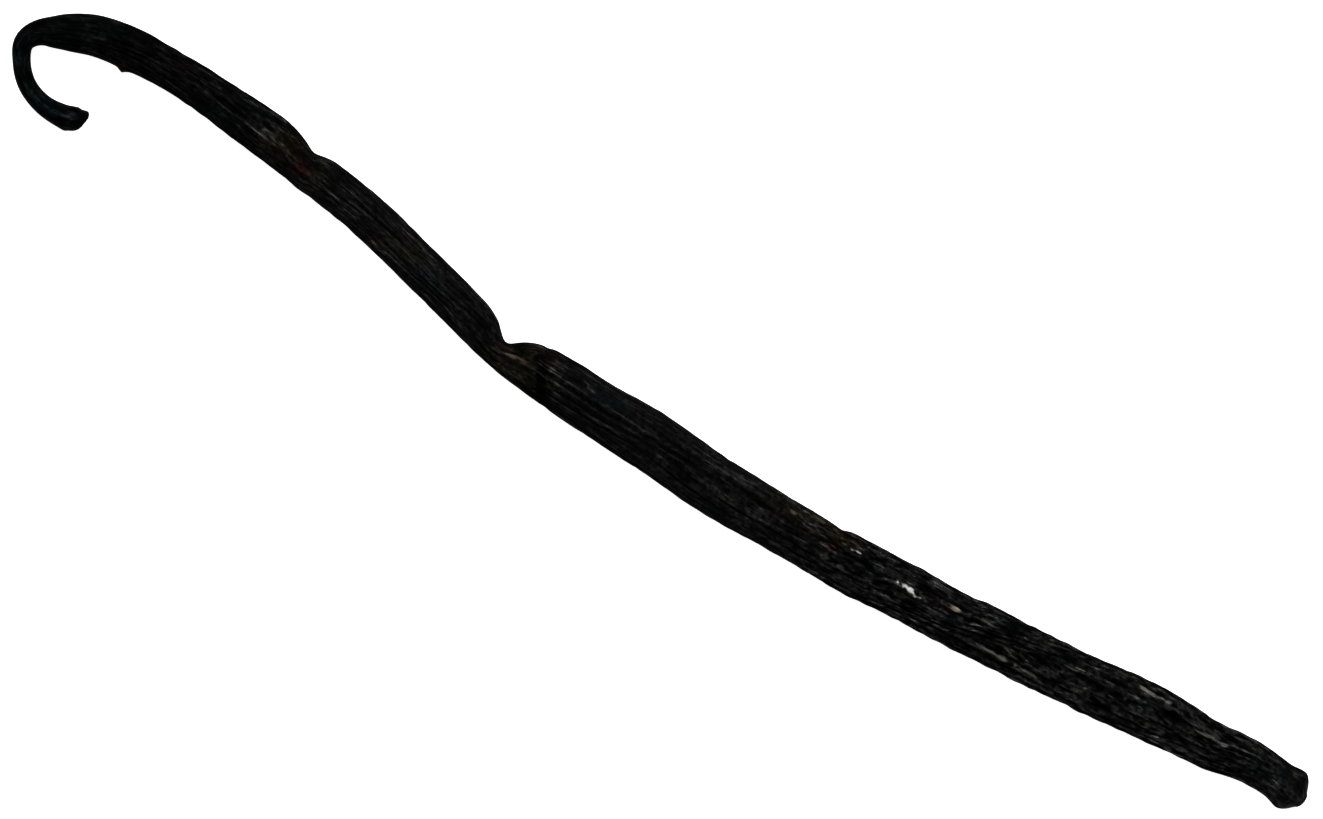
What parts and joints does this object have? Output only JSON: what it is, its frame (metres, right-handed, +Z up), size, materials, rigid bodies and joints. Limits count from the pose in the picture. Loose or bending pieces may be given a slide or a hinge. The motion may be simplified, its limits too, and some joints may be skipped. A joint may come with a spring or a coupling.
{
  "type": "vanilla bean",
  "caption": "Cured vanilla bean lying flat: slim wrinkled pod with folds, a hooked stalk end and a small blunt blossom end.",
  "frame": {"origin": "middle of the bounding box, on the surface that the bean lies on", "axes": "+X along the bean from its hooked stalk to its blossom end, +Y across it, +Z up from the surface"},
  "size_m": [0.165, 0.0142, 0.0047],
  "materials": {
    "cured_skin": "near-black oily brown skin with long glossy wrinkles, olive and red brown at the folds, blue-grey sheen on the stalk"
  },
  "bodies": {
    "root": {"vanilla_pod": "cured_skin"}
  },
  "joints": []
}
